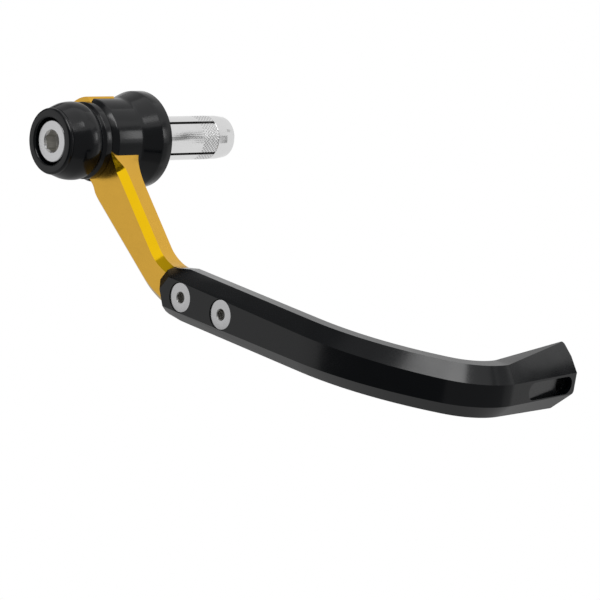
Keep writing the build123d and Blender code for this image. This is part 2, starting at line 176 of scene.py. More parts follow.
class GuardCapSizes(PropertyGroup):
    front: length("Front", "Where the lipped front is along the bar", cap_low[0])
    back: length("Back", "Where the cap meets the arm", cap_high[0])
    lip: length("Lip radius", "Radius of the front lip", 0.0101)
    ring: length("Ring radius", "Radius of the thin ring behind the groove", 0.01177)
    groove: length("Groove radius", "Radius at the bottom of the V groove", 0.011)
    recess: length("Recess radius", "Radius of the recess for the bolt's head", 0.00725)
    floor: length("Recess floor", "Where the bolt's head sits along the bar", -0.0275)


class GuardCollarSizes(PropertyGroup):
    front: length("Front", "Where the collar's front face is along the bar", collar_low[0])
    radius: length("Radius", "Radius of the straight part", 0.01272)
    rim: length("Rim radius", "Radius of the flange against the bar", collar_high[2])
    rim_width: length("Rim width", "Width of the flange's edge", 0.0039)
    crease: length("Crease", "Where the flare starts along the bar", -0.00967)
    slot_floor: length("Slot floor", "Where the arm's eye sits along the bar", arm_high[0])
    slot_half: length("Slot half width", "Half the width of the cross slot", 0.00756)


class GuardArmSizes(PropertyGroup):
    angle: rotation("Angle", "How steeply the arm drops", 43.8)
    front: length("Front", "Where the arm's face is along the bar", arm_low[0])
    thickness: length("Thickness", "Thickness of the arm below the eye", 0.0068)
    eye: length("Eye radius", "Radius of the eye's round end", 0.0133)
    half: length("Eye half width", "Half the width of the eye between the collar's ears", 0.0075)
    bevel: length("Bevel", "Width of the bevel along the face", 0.0021)
    bevel_from: length("Bevel start", "How far down the arm its upper bevel starts", 0.0084)
    bevel_full: length("Bevel full", "How far down the upper bevel has its full width", 0.0154)


class GuardBladeSizes(PropertyGroup):
    front: length("Front", "Where the blade's face is along the bar", blade_low[0])
    thickness: length("Thickness", "Thickness of the blade", 0.0086)
    top: length("Top", "Height of the top edge over the middle line", 0.00779)
    low: length("Low", "Depth of the lower edge under the middle line", 0.00805)
    face: length("Face", "Half the height of the flat face", 0.00455)
    straight: length("Straight end", "Where the straight part ends", -0.1048)
    bend: length("First bend radius", "Radius of the long bend", 0.0807)
    bend_turn: rotation("First bend", "Turn of the long bend", 33.55)
    hook: length("Second bend radius", "Radius of the short bend", 0.0214)
    hook_turn: rotation("Second bend", "Turn of the short bend", 62.45)
    tail: length("Tail", "Length of the straight tail", 0.0293)
    edge: length("Edge", "Rounding of the sharp edges", 0.0002)


class GuardFastenerSizes(PropertyGroup):
    bolt_head: length("Bolt head radius", "Radius of the clamp bolt's head", 0.0065)
    bolt_front: length("Bolt front", "Where the bolt's head ends along the bar", bolt_low[0])
    bolt_end: length("Bolt end", "Where the bolt's thread ends along the bar", bolt_high[0])
    bolt_key: length("Bolt key", "Width across the flats of the bolt's socket", 0.006)
    screw_head: length("Screw head radius", "Radius of the countersunk heads", 0.0044)
    screw_key: length("Screw key", "Width across the flats of the screws' sockets", 0.003)


class GuardSleeveSizes(PropertyGroup):
    radius: length("Radius", "Radius of the sleeve's fingers", sleeve_high[2])
    end: length("End", "Where the sleeve ends along the bar", sleeve_high[0])
    split: length("Split", "Width of the four splits", 0.001)
    knurl_from: length("Knurl start", "Where the knurl starts along the bar", 0.0199)
    knurl_depth: length("Knurl depth", "Depth of the knurl's grooves", 0.00006)
    knurl_count: IntProperty(
        name="Knurl count", description="Diamonds round the sleeve", default=40, min=12, max=80
    )
    nut_end: length("Nut end", "Where the nut's bevelled end is along the bar", nut_high[0])


class GuardFinishes(PropertyGroup):
    black: colour("Black", "Black anodised cap, collar and blade", (0.0014, 0.002, 0.003))
    gold: colour("Gold", "Gold anodised arm", (0.8, 0.455, 0.062))
    cut_gold: colour("Cut gold", "Bevels of the arm, cut before the dye", (0.83, 0.51, 0.007))
    steel: colour("Steel", "Plated bolt, and a shade darker the screws", (0.72, 0.72, 0.73))
    # The screws' darker socket tone is painted shade in their recesses.
    socket: colour("Socket", "Bolt's socket, and a shade darker the screws'", (0.78, 0.77, 0.74))
    aluminium: colour("Aluminium", "Bare turned sleeve and nut", (0.8, 0.8, 0.8))


# Modelling helpers


def spin(bm, geom, axis, angle, steps, centre=(0, 0, 0), closed=False):
    """Sweeps points or edges round an axis."""
    sweep = {"angle": angle, "steps": steps, "use_merge": closed}
    bmesh.ops.spin(bm, geom=geom, cent=centre, axis=axis, dvec=(0, 0, 0), **sweep)


def round_corners(bm, verts, sizes, broad, many, few):
    """Rounds an outline's corners, with many segments for sizes that are broad."""
    for size in sorted(set(sizes) - {0}):
        alike = [v for v, own in zip(verts, sizes) if own == size]
        form = {"segments": many if size > broad else few, "profile": 0.5, "material": -1}
        bmesh.ops.bevel(bm, geom=alike, offset=size, affect="VERTICES", **form)


def face_out(bm):
    """Turns all faces outwards."""
    bmesh.ops.recalc_face_normals(bm, faces=bm.faces[:])


def lathe(outline, steps, centre=(0.0, 0.0)):
    """Turns an outline of x, radius and rounding, if any, about a line parallel with the bar."""
    bm = bmesh.new()
    verts = [bm.verts.new((x, centre[0], centre[1] + r)) for x, r, *_ in outline]
    bm.faces.new(verts)
    sizes = [sum(rounding) for _, _, *rounding in outline]
    round_corners(bm, verts, sizes, broad=0.002, many=12, few=5)
    bmesh.ops.delete(bm, geom=bm.faces[:], context="FACES_ONLY")
    on_axis = [e for e in bm.edges if all(abs(v.co.z - centre[1]) < 1e-8 for v in e.verts)]
    bmesh.ops.delete(bm, geom=on_axis, context="EDGES")
    spin(bm, bm.verts[:] + bm.edges[:], (1, 0, 0), 2 * pi, steps, (0, *centre), closed=True)
    bmesh.ops.remove_doubles(bm, verts=bm.verts[:], dist=MERGE)
    face_out(bm)
    return bm


def push(bm, way):
    """Pushes a flat shape along a way, into a solid."""
    pushed = bmesh.ops.extrude_face_region(bm, geom=bm.faces[:])["geom"]
    moved = [v for v in pushed if isinstance(v, bmesh.types.BMVert)]
    bmesh.ops.translate(bm, verts=moved, vec=way)
    face_out(bm)


def slab(corners, start, depth):
    """A flat outline of (y, z) corners at one x, pushed along the bar."""
    bm = bmesh.new()
    bm.faces.new([bm.verts.new((start, y, z)) for y, z in corners])
    push(bm, (depth, 0, 0))
    return bm


def drum(radius, deep, segments, place):
    """A plain round or many sided bar for cutting, along its own z, put in place by a matrix."""
    bm = bmesh.new()
    ends = {"cap_ends": True, "radius1": radius, "radius2": radius}
    bmesh.ops.create_cone(bm, segments=segments, depth=deep, matrix=place, **ends)
    return bm


def brick(size, place):
    """A plain block for cutting, put in place by a matrix."""
    bm = bmesh.new()
    bmesh.ops.create_cube(bm, size=1.0, matrix=place @ Matrix.Diagonal((*size, 1.0)))
    return bm


def clean(bm):
    """Joins points that meet, and drops edges and faces that have no size."""
    bmesh.ops.remove_doubles(bm, verts=bm.verts[:], dist=MERGE)
    bmesh.ops.dissolve_degenerate(bm, edges=bm.edges[:], dist=1e-8)


def loft(rings):
    """Skins a row of closed rings of points, and closes both its ends."""
    bm = bmesh.new()
    rows = [[bm.verts.new(spot) for spot in ring] for ring in rings]
    bm.faces.new(rows[0])
    for last, row in zip(rows, rows[1:]):
        for i in range(len(row)):
            bm.faces.new((last[i - 1], last[i], row[i], row[i - 1]))
    bm.faces.new(rows[-1])
    clean(bm)
    face_out(bm)
    return bm


def add_object(name, data):
    """Puts an object with this data in the scene, at the origin."""
    added = bpy.data.objects.new(name, data)
    bpy.context.scene.collection.objects.link(added)
    return added


def to_object(bm, name):
    """Puts a bmesh in the scene as an object."""
    mesh = bpy.data.meshes.new(name)
    bm.to_mesh(mesh)
    bm.free()
    return add_object(name, mesh)


def carve(bm, tools):
    """Cuts closed tools out of a closed shape that has up to two finishes."""
    body = to_object(bm, "carved")
    body.data.materials.append(None)
    body.data.materials.append(None)
    cutters = [to_object(tool, "tool") for tool in tools]
    for cutter in cutters:
        cut = body.modifiers.new("cut", "BOOLEAN")
        cut.operation = "DIFFERENCE"
        cut.solver = "EXACT"
        cut.object = cutter
    graph = bpy.context.evaluated_depsgraph_get()
    mesh = bpy.data.meshes.new_from_object(body.evaluated_get(graph))
    result = bmesh.new()
    result.from_mesh(mesh)
    # A mesh that goes takes its object with it
    for used in [mesh, body.data, *[cutter.data for cutter in cutters]]:
        bpy.data.meshes.remove(used)
    bmesh.ops.remove_doubles(result, verts=result.verts[:], dist=MERGE)
    parts = {"verts": result.verts[:], "edges": result.edges[:]}
    bmesh.ops.dissolve_limit(result, angle_limit=FLAT, delimit={"MATERIAL"}, **parts)
    if not result.faces:
        raise RuntimeError("a cut left nothing of the piece")
    return result


def trim(bm, place, outwards):
    """Cuts off what lies beyond a plane, and closes the cut."""
    plane = {"plane_co": place, "plane_no": outwards, "clear_outer": True}
    geom = bm.verts[:] + bm.edges[:] + bm.faces[:]
    bmesh.ops.bisect_plane(bm, geom=geom, dist=MERGE, **plane)
    bmesh.ops.holes_fill(bm, edges=[e for e in bm.edges if e.is_boundary], sides=0)


def join(bm, other):
    """Adds another shape to a bmesh, as it is."""
    mesh = bpy.data.meshes.new("joined")
    other.to_mesh(mesh)
    other.free()
    bm.from_mesh(mesh)
    bpy.data.meshes.remove(mesh)


def cut_socket(bm, front, flats, deep, turn, centre):
    """Cuts a six sided socket with a bevelled mouth, its inside in the second finish."""
    corner = flats / sqrt(3)
    rim = 1.03 * corner
    floor, point_radius, point_deep = front + deep, 0.48 * flats, 0.22 * flats
    clear, overlap = 0.0005, 0.0002
    axis = Matrix.Translation((front, *centre)) @ ALONG_BAR
    walls = drum(corner, 2 * deep, 6, axis @ Matrix.Rotation(turn, 4, "Z"))
    mouth = [(front - clear, 0), (front - clear, rim + clear), (front + rim, 0)]
    point = [(floor - overlap, 0), (floor - overlap, point_radius), (floor + point_deep, 0)]
    bm = carve(bm, [walls, lathe(mouth, 48, centre), lathe(point, 48, centre)])
    middle = Vector(centre)
    for f in bm.faces:
        place = f.calc_center_median()
        if place.x < floor + flats * 0.25 and (place.yz - middle).length < 0.97 * corner:
            f.material_index = 1 if place.x > front + 0.04 * flats else 0
    return bm


def finish_piece(bm, name, node, finishes, edge=0.0):
    """Makes the piece of a shape, stands it for its solid and gives it its finishes."""
    face_out(bm)
    piece = to_object(bm, name)
    mesh = piece.data
    mesh.polygons.foreach_set("use_smooth", [True] * len(mesh.polygons))
    mesh.set_sharp_from_angle(angle=SHARP)
    if edge > 0:
        soften = piece.modifiers.new("edges", "BEVEL")
        soften.width = edge
        soften.segments = 3
        soften.limit_method = "ANGLE"
        soften.angle_limit = SHARP
        soften.harden_normals = True
        soften.miter_outer = "MITER_ARC"
    for finish in finishes:
        mesh.materials.append(finish)
    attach(piece, "root")
    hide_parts(node)


# Finishes


def set_values(node, values):
    """Sets the values of a shader node's inputs."""
    for name, value in values.items():
        node.inputs[name].default_value = value


def add_node(tree, kind, values=None, links=None, **settings):
    """Adds a shader node with its settings, values and links, and gives its outputs."""
    node = tree.nodes.new("ShaderNode" + kind)
    for name, value in settings.items():
        setattr(node, name, value)
    set_values(node, values or {})
    for name, output in (links or {}).items():
        tree.links.new(output, node.inputs[name])
    return node.outputs


def shade(tone, factor):
    """The same colour, darker or lighter."""
    return tuple(min(1.0, part * factor) for part in tone)


def new_material(name):
    """A material and its node tree."""
    material = bpy.data.materials.new(name)
    material.use_nodes = True
    return material, material.node_tree


class Finish:
    """A material under construction, with short ways to add its nodes."""

    def __init__(self, name, base, roughness, metallic=1.0):
        self.material, self.tree = new_material(name)
        self.shader = self.tree.nodes["Principled BSDF"]
        plain = {"Base Color": (*base, 1.0), "Metallic": metallic, "Roughness": roughness}
        set_values(self.shader, plain)
        self.coords = add_node(self.tree, "TexCoord")["Object"]

    def stretched(self, scale, place=(0.0, 0.0, 0.0)):
        """Object coordinates, moved and stretched."""
        values = {"Location": place, "Scale": scale}
        return add_node(self.tree, "Mapping", values, {"Vector": self.coords})["Vector"]

    def noise(self, scale, detail=3.0, vector=None):
        """Soft clouds or, on stretched coordinates, a drawn grain."""
        values = {"Scale": scale, "Detail": detail}
        return add_node(self.tree, "TexNoise", values, {"Vector": vector or self.coords})["Fac"]

    def marks(self, pattern, scale, distortion, vector=None):
        """Fine tool marks: RINGS lie round the x axis, and BANDS across it."""
        values = {"Scale": scale, "Distortion": distortion, "Detail": 2.0}
        links = {"Vector": vector or self.coords}
        return add_node(self.tree, "TexWave", values, links, wave_type=pattern)["Fac"]

    def reach(self):
        """How far a point is from the bar's axis."""
        links = {0: self.stretched((0.0, 1.0, 1.0))}
        return add_node(self.tree, "VectorMath", links=links, operation="LENGTH")["Value"]

    def between(self, value, low, high, start=0.25, stop=0.75):
        """Spreads a value between start and stop over a range."""
        values = {"From Min": start, "From Max": stop, "To Min": low, "To Max": high}
        return add_node(self.tree, "MapRange", values, {"Value": value})["Result"]

    def bump(self, value, distance, strength, before=None):
        """A finely uneven surface, on top of the one before."""
        values = {"Distance": distance, "Strength": strength}
        links = {"Height": value, "Normal": before} if before else {"Height": value}
        return add_node(self.tree, "Bump", values, links)["Normal"]

    def use(self, output, socket_name):
        self.tree.links.new(output, self.shader.inputs[socket_name])

    def tint(self, value, tone, dark, light):
        """Colours the surface between two shades of a tone, by a value."""
        values = {"A": (*shade(tone, dark), 1.0), "B": (*shade(tone, light), 1.0)}
        mixed = add_node(self.tree, "Mix", values, {"Factor": value}, data_type="RGBA")
        self.use(mixed["Result"], "Base Color")


def black_anodised(tone):
    """Dyed, sealed aluminium: almost black, with a fine blasted grain under a soft gloss."""
    name = "black_anodised_finish"
    if name in bpy.data.materials:
        return bpy.data.materials[name]
    finish = Finish(name, tone, roughness=0.28, metallic=0.0)
    grain = finish.noise(scale=7000.0, detail=2.0)
    cloud = finish.noise(scale=160.0)
    drawn = finish.noise(scale=1500.0, vector=finish.stretched((1.0, 0.06, 1.0)))
    finish.tint(cloud, tone, dark=0.8, light=1.25)
    finish.use(finish.between(cloud, low=0.14, high=0.2), "Roughness")
    lines = finish.bump(drawn, distance=0.00002, strength=0.05)
    finish.use(finish.bump(grain, distance=0.00001, strength=0.1, before=lines), "Normal")
    set_values(finish.shader, {"Specular IOR Level": 0.38})
    return finish.material


def gold_anodised(name, tone, smoothest, roughest):
    """Gold dyed aluminium with a drawn grain along the arm."""
    finish = Finish(name, tone, roughness=smoothest)
    cloud = finish.noise(scale=120.0)
    drawn = finish.noise(scale=1800.0, vector=finish.stretched((1.0, 0.1, 1.0)))
    grain = finish.noise(scale=8000.0, detail=2.0)
    finish.tint(cloud, tone, dark=0.93, light=1.05)
    finish.use(finish.between(drawn, smoothest, roughest), "Roughness")
    lines = finish.bump(drawn, distance=0.00001, strength=0.04)
    finish.use(finish.bump(grain, distance=0.000005, strength=0.05, before=lines), "Normal")
    return finish.material


def plated_steel(name, tone, place):
    """Plated steel with turning marks about the fastener's own axis."""
    finish = Finish(name, tone, roughness=0.2)
    around = finish.stretched((1.0, 1.0, 1.0), place)
    rings = finish.marks("RINGS", scale=900.0, distortion=1.5, vector=around)
    cloud = finish.noise(scale=400.0)
    finish.tint(cloud, tone, dark=0.9, light=1.06)
    finish.use(finish.between(cloud, low=0.16, high=0.26), "Roughness")
    finish.use(finish.bump(rings, distance=0.00001, strength=0.15), "Normal")
    return finish.material


def socket_steel(name, tone):
    """Oiled, broached steel inside the sockets, in the tone it is given; the screws' tone comes
    darker, as painted shade.
    """
    finish = Finish(name, tone, roughness=0.4)
    along = finish.stretched((0.1, 1.0, 1.0))
    broached = finish.noise(scale=3000.0, detail=2.0, vector=along)
    finish.tint(broached, tone, dark=0.7, light=1.2)
    finish.use(finish.between(broached, low=0.32, high=0.5), "Roughness")
    return finish.material


def turned_aluminium(name, tone):
    """Bare aluminium with fine feed marks round it."""
    finish = Finish(name, tone, roughness=0.15)
    feed = finish.marks("BANDS", scale=1400.0, distortion=0.6)
    cloud = finish.noise(scale=300.0)
    finish.tint(cloud, tone, dark=0.94, light=1.04)
    finish.use(finish.between(cloud, low=0.09, high=0.14), "Roughness")
    finish.use(finish.bump(feed, distance=0.000006, strength=0.03), "Normal")
    return finish.material


def sawn_aluminium(name, tone):
    """Dull aluminium with the marks of the slitting saw."""
    finish = Finish(name, tone, roughness=0.5)
    sawn = finish.marks("BANDS", scale=900.0, distortion=1.5)
    finish.tint(sawn, tone, dark=0.8, light=1.2)
    return finish.material


def knurled_aluminium(name, tone, groove, crest):
    """The same aluminium as the sleeve's, dull in the grooves of the knurl and darker there, as
    painted shade.
    """
    finish = Finish(name, tone, roughness=0.2)
    reach = finish.reach()
    # Painted shade: the colour darkens towards the bottom of the knurl's grooves.
    finish.tint(finish.between(reach, 0.0, 1.0, groove, crest), tone, dark=0.55, light=1.12)
    finish.use(finish.between(reach, 0.4, 0.24, groove, crest), "Roughness")
    return finish.material


# Pieces


class MESH_OT_guard_cap(Operator):
    """Turn the end cap: lipped front, swollen barrel, V groove and thin back ring"""

    bl_idname = "mesh.lever_guard_cap"
    bl_label = "End cap"

    def execute(self, context):
        s = context.scene.guard_cap
        line, line_half, line_deep = s.front + 0.0013, 0.0002, 0.00025
        widest, swell = s.front + 0.0074, 0.0022
        groove_from, groove_floor, groove_to = s.back - 0.0048, s.back - 0.003, s.back - 0.0022
        groove_deep = 0.00073
        outline = [
            (s.front, s.recess, 0.0005),
            (s.front, s.lip, 0.0009),
            (line - line_half, s.lip, 0.00004),
            (line, s.lip - line_deep, 0.00006),
            (line + line_half, s.lip, 0.00004),
            (widest, s.lip + swell, 0.0027),
            (groove_from, s.groove + groove_deep, 0.00008),
            (groove_floor, s.groove, 0.00008),
            (groove_to, s.ring, 0.00015),
            (s.back, s.ring, 0.0002),
            (s.back, BOLT_HOLE),
            (s.floor, BOLT_HOLE),
            (s.floor, s.recess, 0.0002),
        ]
        black = black_anodised(context.scene.guard_finishes.black)
        finish_piece(lathe(outline, 144), "end_cap_turned", "end_cap", [black])
        return {"FINISHED"}


class MESH_OT_guard_bolt(Operator):
    """Turn the clamp bolt and cut its six sided socket"""

    bl_idname = "mesh.lever_guard_bolt"
    bl_label = "Clamp bolt"

    def execute(self, context):
        s = context.scene.guard_fasteners
        tones = context.scene.guard_finishes
        seat = context.scene.guard_cap.floor
        point, point_radius = 0.0008, 0.0032
        socket_deep, socket_turn = 0.0042, radians(10)
        edge = 0.0001
        outline = [
            (s.bolt_front, 0.0),
            (s.bolt_front, s.bolt_head, 0.00055),
            (seat, s.bolt_head, 0.0001),
            (seat, BOLT_RADIUS, 0.0002),
            (s.bolt_end - point, BOLT_RADIUS),
            (s.bolt_end, point_radius),
            (s.bolt_end, 0.0),
        ]
        bm = lathe(outline, 96)
        bm = cut_socket(bm, s.bolt_front, s.bolt_key, socket_deep, socket_turn, (0.0, 0.0))
        steel = plated_steel("bolt_steel_finish", tones.steel, (0.0, 0.0, 0.0))
        inside = socket_steel("bolt_socket_finish", tones.socket)
        finish_piece(bm, "clamp_bolt_turned", "clamp_bolt", [steel, inside], edge)
        return {"FINISHED"}


class MESH_OT_guard_collar(Operator):
    """Turn the flared collar and mill the slot for the arm across it"""

    bl_idname = "mesh.lever_guard_collar"
    bl_label = "Bar end collar"

    def execute(self, context):
        s = context.scene.guard_collar
        bore, face, bevel = 0.0043, 0.0114, 0.00175
        slot_long, clear, edge = 0.06, 0.001, 0.00012
        outline = [
            (s.front, bore),
            (s.front, face, 0.0003),
            (s.front + bevel, s.radius, 0.0004),
            (s.crease, s.radius, 0.0008),
            (-s.rim_width, s.rim, 0.00045),
            (0.0, s.rim, 0.00035),
            (0.0, SEAT_RADIUS),
            (-SEAT_DEPTH, SEAT_RADIUS),
            (-SEAT_DEPTH, bore),
        ]
        deep = s.slot_floor - s.front + clear
        across = Matrix.Rotation(context.scene.guard_arm.angle, 4, "X")
        place = across @ Matrix.Translation((s.slot_floor - deep / 2, 0, 0))
        bm = carve(lathe(outline, 144), [brick((deep, slot_long, 2 * s.slot_half), place)])
        black = black_anodised(context.scene.guard_finishes.black)
        finish_piece(
            bm, "bar_end_collar_milled", "bar_end_collar", [black], edge
        )
        return {"FINISHED"}


def arm_outline(s):
    """The arm's face, from the eye's round end down to the tab under the blade."""
    c, sn = cos(s.angle), sin(s.angle)

    def on_arm(along, across):
        return (-c * along - sn * across, -sn * along + c * across)

    tab_half = 0.0063
    bm = bmesh.new()
    reach = sqrt(s.eye**2 - s.half**2)
    first = bm.verts.new((s.front, *on_arm(-reach, s.half)))
    spin(bm, [first], (1, 0, 0), -2 * asin(s.half / s.eye), 16)
    # Corners and how far each is rounded
    rest = [
        (on_arm(0.0, -s.half), 0.0),
        (on_arm(0.0126, -s.half), 0.0007),
        (on_arm(0.0156, -0.00813), 0.0012),
        ((NOSE_Y + 0.0014, BLADE_Z - tab_half), 0.0087),
        ((TAB_END, BLADE_Z - tab_half), 0.0),
        ((TAB_END, BLADE_Z + tab_half), 0.0),
        ((NOSE_Y + 0.0007, BLADE_Z + tab_half), 0.00526),
        (on_arm(ARM_NECK, 0.0084), 0.0026),
        (on_arm(0.0105, s.half), 0.0015),
        (on_arm(s.bevel_from, s.half), 0.0),
    ]
    corners = [bm.verts.new((s.front, y, z)) for (y, z), _ in rest]
    bm.faces.new(bm.verts[:])
    round_corners(bm, corners, [size for _, size in rest], broad=0.005, many=24, few=10)
    return bm


def bevel_arm(bm, s):
    """Bevels the face's long edges, from the collar's ears to the tab under the blade."""
    c, sn = cos(s.angle), sin(s.angle)
    upper_side, lower_side, lower_from, tab_stop = 0.004, -0.004, 0.0065, TAB_END + 0.002

    def down_arm(place):
        return -c * place.y - sn * place.z

    def side_of_arm(place):
        return -sn * place.y + c * place.z

    long_edges, upper_points = [], []
    for e in bm.edges:
        middle = (e.verts[0].co + e.verts[1].co) / 2
        down, side = down_arm(middle), side_of_arm(middle)
        if middle.y < tab_stop or any(abs(v.co.x - s.front) > MERGE for v in e.verts):
            continue
        if down > s.bevel_from and side > upper_side:
            upper_points += [v.co.copy() for v in e.verts]
        elif down < lower_from or down < ARM_NECK and side > lower_side:
            continue
        long_edges.append(e)
    form = {"segments": 1, "profile": 0.5, "material": -1}
    bevelled = bmesh.ops.bevel(bm, geom=long_edges, offset=s.bevel, affect="EDGES", **form)
    for f in bevelled["faces"]:
        f.material_index = 1
    # The upper bevel narrows to nothing where it goes under the cap
    for v in bm.verts:
        if v.co.x > s.front + s.bevel + 1e-6 or side_of_arm(v.co) < 0.75 * upper_side:
            continue
        nearest = min(upper_points, key=lambda point: (point.yz - v.co.yz).length)
        share = (down_arm(nearest) - s.bevel_from) / (s.bevel_full - s.bevel_from)
        if share < 1 and (nearest.yz - v.co.yz).length < 1.5 * s.bevel:
            v.co = nearest + (v.co - nearest) * max(0.0, share)


def arm_tools(s):
    """What hollows the back, cuts the ledge for the blade and drills the holes."""
    back = s.front + s.thickness
    hollow, hollow_from, wide, clear = 0.018, 0.0207, 0.12, 0.001
    notch_gap, ledge_end, ledge_half = 0.00015, -0.095, 0.0142
    bolt_drill, screw_drill = 0.06, 0.08
    across = Matrix.Rotation(s.angle, 4, "X") @ Matrix.Translation((0, -hollow_from, 0))
    ledge = [
        (NOSE_Y + notch_gap, BLADE_Z + NOSE_RISE),
        (NOSE_Y - 0.00835, BLADE_Z + ledge_half),
        (ledge_end, BLADE_Z + ledge_half),
        (ledge_end, BLADE_Z - ledge_half),
        (NOSE_Y - 0.00785, BLADE_Z - ledge_half),
    ]
    tools = [
        drum(hollow, wide, 96, across @ Matrix.Translation((back + hollow, 0, 0))),
        brick((0.02, 0.1, wide), across @ Matrix.Translation((back + 0.01, -0.05, 0))),
        slab(ledge, s.front - clear, LEDGE_X - s.front + clear),
        drum(BOLT_HOLE, bolt_drill, 48, ALONG_BAR),
    ]
    for y in SCREW_YS:
        place = Matrix.Translation((0, y, BLADE_Z)) @ ALONG_BAR
        tools.append(drum(SCREW_RADIUS, screw_drill, 32, place))
    return tools


class MESH_OT_guard_arm(Operator):
    """Mill the arm: round eye, bevelled face, hollowed back and the ledge for the blade"""

    bl_idname = "mesh.lever_guard_arm"
    bl_label = "Bracket arm"

    def execute(self, context):
        s = context.scene.guard_arm
        bm = arm_outline(s)
        push(bm, (context.scene.guard_collar.slot_floor - s.front, 0, 0))
        bevel_arm(bm, s)
        clean(bm)
        tones = context.scene.guard_finishes
        gold = gold_anodised("gold_anodised_finish", tones.gold, 0.15, 0.22)
        cut = gold_anodised("cut_gold_finish", tones.cut_gold, 0.08, 0.14)
        bm = carve(bm, arm_tools(s))
        finish_piece(bm, "bracket_arm_milled", "bracket_arm", [gold, cut])
        return {"FINISHED"}


def blade_sections(s):
    """Sections from the nose to the tip, as depths behind the face and heights."""
    low_bevel, round_back, crown = 0.00398, 0.0004, 0.0005

    def section(face, top, low, top_bevel):
        return [
            (0, face),
            (top_bevel / 2, (face + top) / 2),
            (top_bevel, top),
            (s.thickness - round_back, top),
            (s.thickness, top - round_back),
            (s.thickness, -low + round_back),
            (s.thickness - round_back, -low),
            (low_bevel, -low),
            (0, -face),
        ]

    rise = s.top + TIP_RISE
    tip_face, tip_bevel, tip_deep, tip_round = s.face - 0.00115, 0.0065, 0.007, 0.0009
    tip = [
        (0, tip_face),
        (tip_bevel / 2 - 0.74 * crown, (tip_face + rise) / 2 + 0.67 * crown),
        (tip_bevel, rise),
        (0.0067, rise),
        (tip_deep, rise - tip_round),
        (tip_deep, tip_round - s.low),
        (tip_deep - tip_round, -s.low),
        (low_bevel, -s.low),
        (0, TIP_CHIN - s.face),
    ]
    return (
        section(s.face, s.top - 0.0025, s.low - 0.00115, 0.0047),
        section(s.face, s.top, s.low, 0.0047),
        section(s.face - 0.00061, s.top, s.low - 0.0002, 0.0042),
        section(s.face - 0.00115, s.top, s.low - 0.0006, 0.0038),
        section(s.face - 0.0014, s.top, s.low - 0.0005, 0.0035),
        tip,
    )


def blend(first, last, share):
    """A section between two others."""
    pairs = [(*p, *q) for p, q in zip(first, last)]
    return [(x + (to_x - x) * share, z + (to_z - z) * share) for x, z, to_x, to_z in pairs]


def arc(centre, radius, start, sweep, steps, first, last):
    """Stations round one bend, from one section to another."""
    stations = []
    for step in range(1, steps + 1):
        turn = start + sweep * step / steps
        place = centre - radius * Vector((cos(turn), sin(turn)))
        stations.append((place, turn, blend(first, last, step / steps)))
    return stations


def trim_blade(bm, s, tail_start, along):
    """Cuts the V nose, the facets on its front edges and the corners of the tip."""
    apex = (s.front, NOSE_Y, BLADE_Z + NOSE_RISE)
    facet = (s.front, NOSE_Y - 0.0034, BLADE_Z)
    chin_back, bow = 0.0005, 0.0009
    corner = tail_start + along * (s.tail - chin_back)
    chin = (corner.x, corner.y, BLADE_Z + TIP_CHIN - s.face)
    trim(bm, apex, (0, 0.01245, 0.0085))
    trim(bm, apex, (0, 0.01595, -0.008))
    trim(bm, facet, (-0.95, 0.6, 0.41))
    trim(bm, facet, (-0.67, 0.775, -0.39))
    trim(bm, chin, (along.x * 0.00917, along.y * 0.00917, -0.0066))
    # The upper corner is rounded
    heart = tail_start + along * (s.tail - bow)
    height = BLADE_Z + (s.top + TIP_RISE) - bow
    for turn in (22.5, 45.0, 67.5):
        out, up = cos(radians(turn)), sin(radians(turn))
        x, y = along.x * out, along.y * out
        trim(bm, (heart.x + bow * x, heart.y + bow * y, height + bow * up), (x, y, up))


def lap_tools(s, head):
    """What cuts the slot for the arm's tab, and the countersinks for the screws."""
    slot_end, slot_half, slot_deep = -0.082, 0.0064, 0.01
    clear, head_gap, shank = 0.001, 0.00015, 0.0026
    rim = screw_low[0] + SCREW_RIM
    slot = [
        (slot_end, BLADE_Z - slot_half),
        (NOSE_Y + 0.012, BLADE_Z - slot_half),
        (NOSE_Y + 0.012, BLADE_Z + 0.0101),
        (NOSE_Y - 0.0065, BLADE_Z + slot_half),
        (slot_end, BLADE_Z + slot_half),
    ]
    countersink = [
        (s.front - clear, 0.0),
        (s.front - clear, head + head_gap),
        (rim - head_gap, head + head_gap),
        (rim + head - shank, shank),
        (LEDGE_X + clear, shank),
        (LEDGE_X + clear, 0.0),
    ]
    tools = [slab(slot, LEDGE_X, slot_deep)]
    return tools + [lathe(countersink, 64, (y, BLADE_Z)) for y in SCREW_YS]


def tip_tools(tail_start, along, inwards):
    """What cuts the tip's pocket, deeper towards its end, and the hole through it there."""
    radius, half, deep, tilt = 0.00265, 0.0076, 0.01, radians(6)
    down_tail, sunk, hole, hole_deep = 0.01725, 0.0015, 0.0021, 0.03
    spot = tail_start + along * down_tail + inwards * sunk
    lie = Matrix(
        (
            (along.x, 0, -inwards.x, spot.x),
            (along.y, 0, -inwards.y, spot.y),
            (0, 1, 0, BLADE_Z),
            (0, 0, 0, 1),
        )
    )
    pocket = bmesh.new()
    turned = Matrix.Rotation(pi / 40, 4, "Z")
    bmesh.ops.create_circle(pocket, cap_ends=True, segments=40, radius=radius, matrix=turned)
    for v in pocket.verts:
        v.co.x += half if v.co.x > 0 else -half
    push(pocket, (0, 0, deep))
    tilted = lie @ Matrix.Rotation(tilt, 4, "Y")
    bmesh.ops.transform(pocket, verts=pocket.verts[:], matrix=tilted)
    return [pocket, drum(hole, hole_deep, 40, lie @ Matrix.Translation((half, 0, 0)))]


